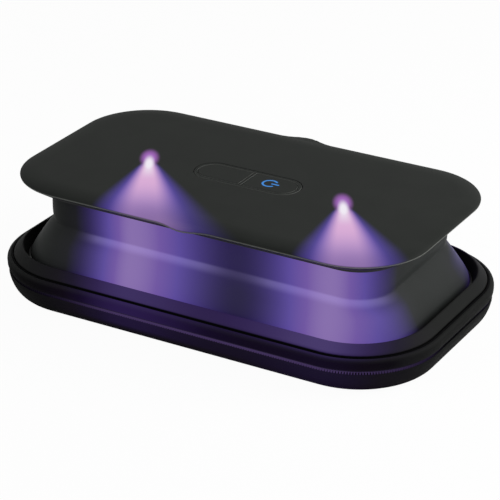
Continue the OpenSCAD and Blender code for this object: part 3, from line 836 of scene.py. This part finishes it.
def make_rim():
    """Upper half of the side with the raised rim, cut clear round the hinge line."""
    x = spine()[0]
    low = RIM_LOW.z
    lip = ZIP_Z + sizes().zip_opening / MM / 2
    crest = RIM_HIGH.z
    crest_r = 30.65
    groove_out = CORD_HIGH.x - x
    groove_in = groove_out - 1.0
    floor = CORD_LOW.z
    section = [(side_r(low) - 0.62, low), (side_r(lip) - 0.6, lip + 0.25),
               (side_r(lip) - 0.35, lip), (side_r(12.2), 12.2), (side_r(13), 13), (37.5, 14.0),
               (37.4, 14.6), (37.15, 15.2), (36.7, 15.7), (groove_out + 0.45, 15.97),
               (groove_out + 0.1, 15.95), (groove_out, 15.8), (groove_out, floor),
               (groove_in, floor), (groove_in, 16.15), (groove_in - 0.1, 16.5),
               (groove_in - 0.45, 16.95), (33.3, 17.95), (32.0, 19.08), (crest_r + 0.5, crest - 0.2),
               (crest_r + 0.2, crest - 0.04), (crest_r - 0.05, crest - 0.02),
               (crest_r - 0.3, crest - 0.15), (crest_r - 0.45, crest - 0.45), (28.6, 16.2),
               (28.3, 15.7), (28.1, 15.4), (28.1, 13.6), (24.6, 13.6), (24.6, low)]
    piece = sweep("lid_rim", section)
    pick_none()
    relief = 5.0
    reach = 2 * (x + CLEAR_BEYOND)
    bpy.ops.mesh.primitive_cylinder_add(vertices=64, radius=relief * MM, depth=reach * MM,
                                        rotation=(0, math.pi / 2, 0))
    placed((0, HINGE[1] / MM, ZIP_Z))
    cut(piece, bpy.context.object)
    given(done(piece), "lid", "case_skin", "case_skin", "lid_frame")


def make_rim_cord():
    """Round cord lying in the groove on the rim."""
    radius = sizes().cord_radius / MM
    middle = CORD_HIGH.x - spine()[0] - radius - 0.04
    height = CORD_LOW.z + radius + 0.02
    section = [(middle + radius * math.cos(a), height + radius * math.sin(a))
               for a in (2 * math.pi * i / 10 for i in range(10))]
    piece = sweep("rim_cord", section)
    given(done(piece, 60), "lid", "piping", "piping_rubber", "rim_piping")


def make_wall():
    """Rubber wall: foot bead, flared skirt, crease, upright neck and top bead."""
    low, top = WALL_LOW.z, WALL_HIGH.z
    bead = top - 1.2
    foot = low + 1.2
    outer = [(28.0, low), (28.0, foot), (27.0, foot), (26.95, 16.4), (26.6, 17.6), (25.9, 19.0),
             (24.8, 20.9), (23.2, 23.3), (21.4, 26.0), (19.6, 28.6), (17.9, 31.0),
             (17.0, 32.2), (16.55, 32.75), (16.6, 33.4), (16.85, 34.4), (17.0, 36.5),
             (17.0, 40.0), (16.85, 44.0), (16.8, bead), (18.3, bead), (18.3, top - 0.05)]
    inner = [(15.5, top - 0.05), (15.5, 40.0), (15.5, 35.4), (15.0, 33.2), (14.95, 32.2),
             (15.7, 30.7), (17.8, 28.0), (20.2, 24.6), (22.3, 21.6), (24.2, 18.7),
             (25.1, 17.1), (25.5, 16.0), (25.4, foot), (25.1, foot), (25.1, low)]
    steps = 12
    piece = sweep("pop_wall_rubber", outer + inner, cuts=[2 * spine()[0] / steps] * steps)
    given(done(piece, 50), "lid", "wall_rubber", "wall_rubber", "pop_wall")
    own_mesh(piece)


def tab_cuts(half, width):
    """Steps along a long side, fine across the finger tab."""
    fine = 20
    step = width * 1.2 / fine
    end = (2 * half - fine * step) / 2
    return [end] + [step] * fine + [end]


def pull_tabs(piece, reach, width):
    """Draws the lip out into a smooth finger tab, front and back."""
    x, y = spine()
    edge = y + COVER_HIGH.x - x
    for side in (-1, 1):
        steps = 12
        for i in range(steps):
            share = (i + 0.5) / steps
            half = width / 2 * math.acos(2 * share - 1) / math.pi
            choose(piece, lambda p: abs(p.x) < half and p.y * side > edge - 1.8
                   and abs(p.z - LIP_Z) < 1.3)
            bpy.ops.transform.translate(value=(0, side * reach / steps * MM, 0))


def make_cover():
    """Top cover with a rounded edge, two finger tabs and the panel opening."""
    head = head_sizes()
    x = spine()[0]
    top = COVER_HIGH.z
    lip_r = COVER_HIGH.x - x
    roll = head.roll_width / MM
    under = top - head.cover_thickness / MM
    arc = [(lip_r - roll + roll * math.cos(a), LIP_Z + ROLL_HEIGHT * math.sin(a))
           for a in (math.pi / 2 * (1 - i / 12) for i in range(13))]
    section = [(0, top), (lip_r - roll - 4, top)] + arc
    section += [(lip_r - 0.1, LIP_Z - 0.4), (lip_r - 0.5, LIP_Z - 0.72), (lip_r - 1.0, LIP_Z - 0.8),
                (lip_r - 1.6, LIP_Z - 0.8), (lip_r - 2.2, LIP_Z - 0.4), (lip_r - 4, LIP_Z + 0.1),
                (lip_r - 7, under - 0.1), (lip_r - roll, under), (0, under)]
    width = head.tab_width / MM
    piece = sweep("cover_shell", section, closed=False, cuts=tab_cuts(x, width))
    pull_tabs(piece, head.tab_reach / MM, width)
    pick_none()
    cut(piece, pill("panel_hole", head.panel_length / MM, head.panel_width / MM,
                    under - 2, top + 2))
    soft_edges(piece, 0.22, 50)
    given(done(piece, flat_tops=True), "head", "head_cover", "cover_plastic", "top_cover")


def half_pill(name, side, inset, start, low, top):
    """Right (1) or left (-1) half of the panel's pill, starting off the middle."""
    head = head_sizes()
    piece = pill(name, head.panel_length / MM - 2 * inset, head.panel_width / MM - 2 * inset,
                 low, top)
    edit(piece)
    select_all()
    bpy.ops.mesh.bisect(plane_co=(side * start * MM, 0, 0), plane_no=(side, 0, 0),
                        use_fill=True, clear_inner=True)
    weld()
    turn_outward()
    pick_none()
    return piece


def make_key_panel():
    """Blank plate and power key in their bezel, with a bar between the two."""
    head = head_sizes()
    gap = head.key_gap / MM
    bezel = head.bezel_width / MM
    bar = head.bar_width / MM
    top = KEY_HIGH.z
    round_edge = head.key_round / MM
    for name, side, node, body in (("blank_half", -1, "blank_plate", "head"),
                                   ("power_key_cap", 1, "power_key", "key")):
        piece = half_pill(name, side, bezel + 2 * gap, bar / 2 + gap, top - 1.0, top - 0.03)
        soft_edges(piece, round_edge, 60, 3)
        given(done(piece, 40, True), body, "panel", "key_plastic", node)
    cover_top = COVER_HIGH.z
    frame_piece = pill("panel_bezel", head.panel_length / MM - 2 * gap,
                       head.panel_width / MM - 2 * gap, cover_top - 2.8, cover_top)
    for side in (-1, 1):
        cut(frame_piece, half_pill("panel_pocket", side, bezel + gap, bar / 2,
                                   cover_top - 1.9, cover_top + 2))
    soft_edges(frame_piece, round_edge, 50, 3)
    given(done(frame_piece, 40, True), "head", "panel", "key_plastic", "control_frame")


def make_power_sign():
    """Lit power sign: a ring open to the right, with a bar through the opening."""
    top = KEY_HIGH.z - 0.03
    ring, thick = 3.1, 0.88
    middle = SIGN_LOW.x + 2.8, (SIGN_LOW.y + SIGN_HIGH.y) / 2
    opening = math.radians(38)
    piece = trace("power_sign", [
        (middle[0] + r * math.cos(opening), middle[1] + r * math.sin(opening), top)
        for r in (ring - thick / 2, ring + thick / 2)])
    select_all()
    bpy.ops.mesh.spin(steps=40, angle=-(2 * math.pi - 2 * opening),
                      center=(middle[0] * MM, middle[1] * MM, 0), axis=(0, 0, 1))
    pick_none()
    bpy.ops.mesh.primitive_plane_add(size=MM)
    bar = bpy.context.object
    bar_length = 3.7
    bpy.ops.transform.resize(value=(bar_length, thick, 1))
    placed((middle[0] + 0.7 + bar_length / 2, middle[1], top))
    edit(joined("power_sign", [piece, bar]))
    turn_outward()
    bpy.ops.mesh.extrude_region_move(TRANSFORM_OT_translate={"value": (0, 0, 0.03 * MM)})
    turn_outward()
    pick_none()
    given(done(piece), "key", "symbol_blue", "sign_light", "power_symbol")


def zip_path(radius, z):
    """Open path round the case on the zip line, from the middle of the back and round."""
    x, y = spine()
    piece = trace("zip_path", [(0, y + radius, z)])
    gap = 0.01
    select_all()
    draw_along([x], (1, 0, 0))
    for cx, cy, step, way in ((x, y, 2 * y, (0, -1, 0)), (x, -y, 2 * x, (-1, 0, 0)),
                              (-x, -y, 2 * y, (0, 1, 0)), (-x, y, x - gap, (1, 0, 0))):
        bpy.ops.mesh.spin(steps=24, angle=math.pi / 2, center=(cx * MM, cy * MM, 0),
                          axis=(0, 0, 1))
        draw_along([step], way)
    weld()
    pick(piece)
    bpy.ops.object.convert(target="CURVE")
    piece.data.twist_mode = "Z_UP"
    return piece


def coil_row(name, z0, z1, start, end, radius, depth, shift=0.0):
    """One row of coil turns between two distances along the zip path."""
    pitch = sizes().tooth_pitch / MM
    turn_share, chamfer = 0.42, 0.14
    row = block(name, (pitch * turn_share, depth, z1 - z0),
                (start + pitch * (0.5 + shift), 0, (z0 + z1) / 2 - ZIP_Z), chamfer)
    path = zip_path(radius, ZIP_Z)
    repeat(row, (pitch, 0, 0), int((end - start) / pitch - 1))
    apply_modifier(row, "CURVE", object=path, deform_axis="POS_X")
    bpy.data.objects.remove(path)
    edit(row)
    turn_outward()
    return done(row, 30)


def joined(name, pieces):
    """Joins pieces into one mesh."""
    pick(pieces[0])
    for piece in pieces[1:]:
        piece.select_set(True)
    bpy.ops.object.join()
    pieces[0].name = pieces[0].data.name = name
    return pieces[0]


def make_zip_rows():
    """Fine coil turns. The halves mesh round the front, and part along the slider's track."""
    x, y = spine()
    depth = 1.4
    radius = LOW_TEETH[1].x - x - depth / 2 - 0.05
    whole = 4 * (x + y) + 2 * math.pi * radius
    back = 35.6
    turn = x + radius * math.asin(CLEAR_BEYOND / radius)
    low, high = LOW_TEETH[0].z, HIGH_TEETH[1].z
    mesh, part = 0.25, 0.4

    def halves(name, z0, z1, shift, *stretches):
        return [coil_row(name, z0, z1, start, end, radius, depth, shift)
                for start, end in stretches]

    front = (turn, whole - turn)
    sides = ((back, turn), (whole - turn, whole - back))
    below = halves("coil_low", low, ZIP_Z + mesh, 0.0, front)
    below += halves("coil_low", low, ZIP_Z - part, 0.0, *sides)
    above = halves("coil_high", ZIP_Z - mesh, high, 0.5, front)
    tails = halves("coil_tail", ZIP_Z + part, high, 0.5, *sides)
    for name, pieces, body, node in (("coil_low", below, "base", "base_zip_teeth"),
                                     ("coil_high", above, "lid", "lid_zip_teeth"),
                                     ("coil_tail", tails, "base", "zip_tail_teeth")):
        given(joined(name, pieces), body, "zip_teeth", "coil_nylon", node)


def make_hinge_strip():
    """Fabric hinge: one woven strip from the tray to the lid, blended across the joint."""
    low, high = STRIP_LOW, STRIP_HIGH
    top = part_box("hinge_upper")[1].z / MM
    pick_none()
    bpy.ops.mesh.primitive_plane_add(size=MM, rotation=(math.pi / 2, 0, 0))
    strip = named("hinge_strip")
    bpy.ops.transform.resize(value=(high.x - low.x, 1, top - low.z))
    placed((0, (low.y + high.y) / 2, (low.z + top) / 2))
    edit()
    select_all()
    bpy.ops.mesh.subdivide(number_cuts=24)
    pick_none()
    apply_modifier(strip, "SOLIDIFY", thickness=sizes().strip_thickness * 0.9, offset=0)
    soft_edges(strip, 0.15, 60)
    done(strip)
    wear(strip.data, "tape_cloth")
    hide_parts("hinge_lower", "hinge_upper")
    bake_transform(strip)


def softened(node, name, width):
    """Copy of a hard CAD piece with its edges rounded."""
    source = frame["nodes"][node]
    piece = source.copy()
    piece.data = source.data.copy()
    piece.name = piece.data.name = name
    piece.parent = None
    for key in list(piece.keys()):
        del piece[key]
    bpy.context.scene.collection.objects.link(piece)
    edit(piece)
    weld()
    bpy.ops.mesh.dissolve_limited(angle_limit=math.radians(1))
    pick_none()
    soft_edges(piece, width, 40)
    return done(piece)


def make_zip_metal():
    """Slider and pull with rounded edges."""
    for node, name, width, body in (("zip_slider", "slider_body", 0.15, "slider"),
                                    ("zip_pull", "pull_tab", 0.12, "pull")):
        given(softened(node, name, width), body, "zip_metal", "dark_nickel", node)


def fill_pad(piece, swell):
    """Fills the pad between its seams by simulation, to swell millimetres at most."""
    cloth_modifier = piece.modifiers.new("filling", "CLOTH")
    settings = cloth_modifier.settings
    settings.use_pressure = True
    settings.uniform_pressure_force = 4
    settings.vertex_group_mass = piece.vertex_groups[0].name
    settings.effector_weights.gravity = 0
    scene = bpy.context.scene
    last_frame = 20
    for number in range(1, last_frame + 1):
        scene.frame_set(number)
    flat = [vertex.co.copy() for vertex in piece.data.vertices]
    pick(piece)
    bpy.ops.object.modifier_apply(modifier=cloth_modifier.name)
    moves = [vertex.co - start for vertex, start in zip(piece.data.vertices, flat)]
    share = min(1.0, swell * MM / max(move.length for move in moves))
    for vertex, start, move in zip(piece.data.vertices, flat, moves):
        vertex.co = start + move * share
    scene.frame_set(1)


def make_pad():
    """Soft mat in the tray, sewn down in channels across it and round its edge."""
    low, high = span("phone_mat")
    x, y = spine()
    radius = high.x - x
    tall, voxel, thick, seam_depth = 6.0, 1.6, 1.2, 0.55
    edge_seam, channel_step, channels = 3.2, 22.0, 3
    piece = sweep("phone_pad", [(0, low.z + tall), (radius - 1.6, low.z + tall),
                                (radius - 0.3, low.z + tall - 1.6), (radius - 0.3, low.z + 1.6),
                                (radius - 1.6, low.z), (0, low.z)], closed=False)
    pick(piece)
    piece.data.remesh_voxel_size = voxel * MM
    bpy.ops.object.voxel_remesh()
    edit(piece)
    select_all()
    bpy.ops.transform.resize(value=(1, 1, thick / tall),
                             center_override=(0, 0, low.z * MM))

    def out(p):
        return math.hypot(max(abs(p.x) - x, 0), max(abs(p.y) - y, 0))

    def on_seam(p):
        if p.z < low.z + thick * 0.8:
            return False
        line = round(p.x / channel_step)
        across = abs(line) <= channels and abs(p.x - line * channel_step) < voxel / 2
        return across or abs(out(p) - (radius - edge_seam)) < voxel / 2

    choose(piece, lambda p: p.z < low.z + thick * 0.6 or on_seam(p))
    bpy.ops.object.vertex_group_assign_new()
    choose(piece, on_seam)
    bpy.ops.transform.translate(value=(0, 0, -seam_depth * MM))
    pick_none()
    fill_pad(piece, 1.3)
    apply_modifier(piece, "SUBSURF", levels=1, render_levels=1)
    given(done(piece, 60), "base", "mat", "pad_cloth", "phone_mat")
    make_pad_thread(low.z + thick - seam_depth, channel_step, channels,
                    2 * (y + radius - edge_seam))


def make_pad_thread(height, step, channels, length):
    """Stitches along the pad's channels: one stitch, repeated along and across."""
    pitch, width = 3.2, 0.4
    count = int(length / pitch)
    thread = block("pad_thread", (width, pitch * 0.7, 0.24),
                   (-channels * step, -pitch * (count - 1) / 2, height + 0.1), 0.1)
    repeat(thread, (0, pitch, 0), count)
    repeat(thread, (step, 0, 0), 2 * channels + 1)
    given(done(thread), "base", "mat", "thread_cloth")


def dress_nodes():
    """Finishes of the CAD nodes that stay in view."""
    for name, nodes in (
            ("lining_cloth", ("base_liner", "lid_liner")),
            ("tape_cloth", ("base_zip_tape", "zip_tail_tape", "lid_zip_tape", "zip_end_tabs")),
            ("dark_nickel", ("zip_stops",)),
            ("clamp_plastic", ("wall_clamp", "neck_clamp")),
            ("dark_plastic", ("inner_cover",)),
            ("board_mask", ("main_board", "lamp_board_left", "lamp_board_right")),
            ("plated_steel", ("power_switch", "cover_screws")),
            ("socket_steel", ("usb_socket",)),
            ("battery_foil", ("battery",)),
            ("lamp_chip", ("uv_lamp_left", "uv_lamp_right")),
            ("reflector_bright", ("reflector_left", "reflector_right")),
            ("quartz", ("window_left", "window_right")),
            ("lead_red", ("lamp_leads",)),
            ("lead_black", ("battery_leads",))):
        for node in nodes:
            wear(frame["nodes"][node].data, name)


# ---- stage


def make_world():
    """Soft light, and plain white for camera, glossy and transmission rays."""
    world = bpy.data.worlds.new("studio")
    bpy.context.scene.world = world
    world.use_nodes = True
    tree = Tree(world.node_tree)
    world.node_tree.nodes.clear()
    white = tree.add("ShaderNodeBackground", {"Color": WHITE})
    soft = tree.add("ShaderNodeBackground", {"Color": WHITE, "Strength": 0.3})
    rays = tree.add("ShaderNodeLightPath").outputs
    seen = tree.maths("MAXIMUM", rays["Is Camera Ray"],
                      tree.maths("MAXIMUM", rays["Is Glossy Ray"], rays["Is Transmission Ray"]))
    both = tree.add("ShaderNodeMixShader", {0: seen, 1: soft.outputs[0], 2: white.outputs[0]})
    tree.add("ShaderNodeOutputWorld", {0: both.outputs[0]})


def make_stage():
    """Floor, lamps, world and the camera at the photograph's angle."""
    pick_none()
    bpy.ops.mesh.primitive_plane_add(size=6)
    floor = bpy.context.object
    floor.name = "floor"
    placed((0, 0, -0.02))
    pale, tree, shader = blank_material("pale_floor")
    tree.feed_all(shader, {"Base Color": (0.9, 0.9, 0.9, 1), "Roughness": 0.9,
                           "Specular IOR Level": 0.0})
    glow = tree.add("ShaderNodeEmission", {"Color": WHITE})
    seen = tree.times(tree.add("ShaderNodeLightPath").outputs["Is Camera Ray"], 0.96)
    both = tree.add("ShaderNodeMixShader", {0: seen, 1: shader.outputs[0], 2: glow.outputs[0]})
    tree.feed(pale.node_tree.nodes["Material Output"].inputs[0], both.outputs[0])
    floor.data.materials.append(pale)
    make_world()
    for name, place, energy, size in (("key_light", (430, 230, 290), 2.5, 0.35),
                                      ("front_light", (-420, -520, 560), 1.6, 0.6)):
        pick_none()
        where = Vector(place) * MM
        facing = (-where).to_track_quat("-Z", "Y").to_euler()
        bpy.ops.object.light_add(type="AREA", location=where, rotation=facing)
        light = bpy.context.object
        light.name = name
        light.data.energy = energy
        light.data.size = size
    make_camera()


def make_camera():
    azimuth, elevation = math.radians(VIEW_AZIMUTH), math.radians(VIEW_ELEVATION)
    back = Vector((math.sin(azimuth) * math.cos(elevation),
                   -math.cos(azimuth) * math.cos(elevation), math.sin(elevation)))
    target = Vector(VIEW_TARGET) * MM
    pick_none()
    bpy.ops.object.camera_add(location=target + back * VIEW_DISTANCE * MM,
                              rotation=back.to_track_quat("Z", "Y").to_euler())
    camera = bpy.context.object
    camera.name = "photo_camera"
    camera.data.lens = VIEW_LENS
    camera.data.sensor_width = 36
    camera.data.clip_start = 0.01
    camera.data.clip_end = 20
    bpy.context.scene.camera = camera
    bpy.context.scene.view_settings.view_transform = "Standard"


# ---- operators


def operator(build, label):
    """An operator class that runs one build function."""
    def execute(self, context):
        build()
        return {"FINISHED"}
    name = build.__name__.removeprefix("make_")
    return type("UVBOX_OT_" + name, (bpy.types.Operator,), {
        "bl_idname": "uvbox." + name, "bl_label": label, "__doc__": build.__doc__.rstrip("."),
        "bl_options": {"REGISTER", "UNDO"}, "execute": execute})


OPERATORS = [operator(build, label) for build, label in (
    (make_stage, "Stage"), (make_tray, "Tray"), (make_rim, "Rim"), (make_rim_cord, "Rim cord"),
    (make_wall, "Pop-up wall"), (make_cover, "Cover"), (make_key_panel, "Key panel"),
    (make_power_sign, "Power sign"), (make_zip_rows, "Zip rows"),
    (make_hinge_strip, "Hinge strip"), (make_zip_metal, "Zip metal"), (make_pad, "Phone pad"),
    (dress_nodes, "Inner parts"))]


class UVBOX_PT_panel(bpy.types.Panel):
    """Buttons for the pieces of the box, in the order they are made"""
    bl_label = "Sanitizer box"
    bl_idname = "UVBOX_PT_panel"
    bl_space_type = "VIEW_3D"
    bl_region_type = "UI"
    bl_category = "Sanitizer box"

    def draw(self, context):
        for maker in OPERATORS:
            self.layout.operator(maker.bl_idname)


SETTINGS = (("uvbox_case", UVBOX_CaseSizes), ("uvbox_head", UVBOX_HeadSizes),
            ("uvbox_colours", UVBOX_Colours))


def register():
    for name, kind in SETTINGS:
        bpy.utils.register_class(kind)
        setattr(bpy.types.Scene, name, bpy.props.PointerProperty(type=kind))
    for kind in OPERATORS + [UVBOX_PT_panel]:
        bpy.utils.register_class(kind)


def unregister():
    for kind in [UVBOX_PT_panel] + OPERATORS[::-1]:
        bpy.utils.unregister_class(kind)
    for name, kind in SETTINGS[::-1]:
        delattr(bpy.types.Scene, name)
        bpy.utils.unregister_class(kind)


def main():
    register()
    for maker in OPERATORS:
        getattr(bpy.ops.uvbox, maker.bl_idname.split(".")[1])()


if __name__ == "__main__":
    main()
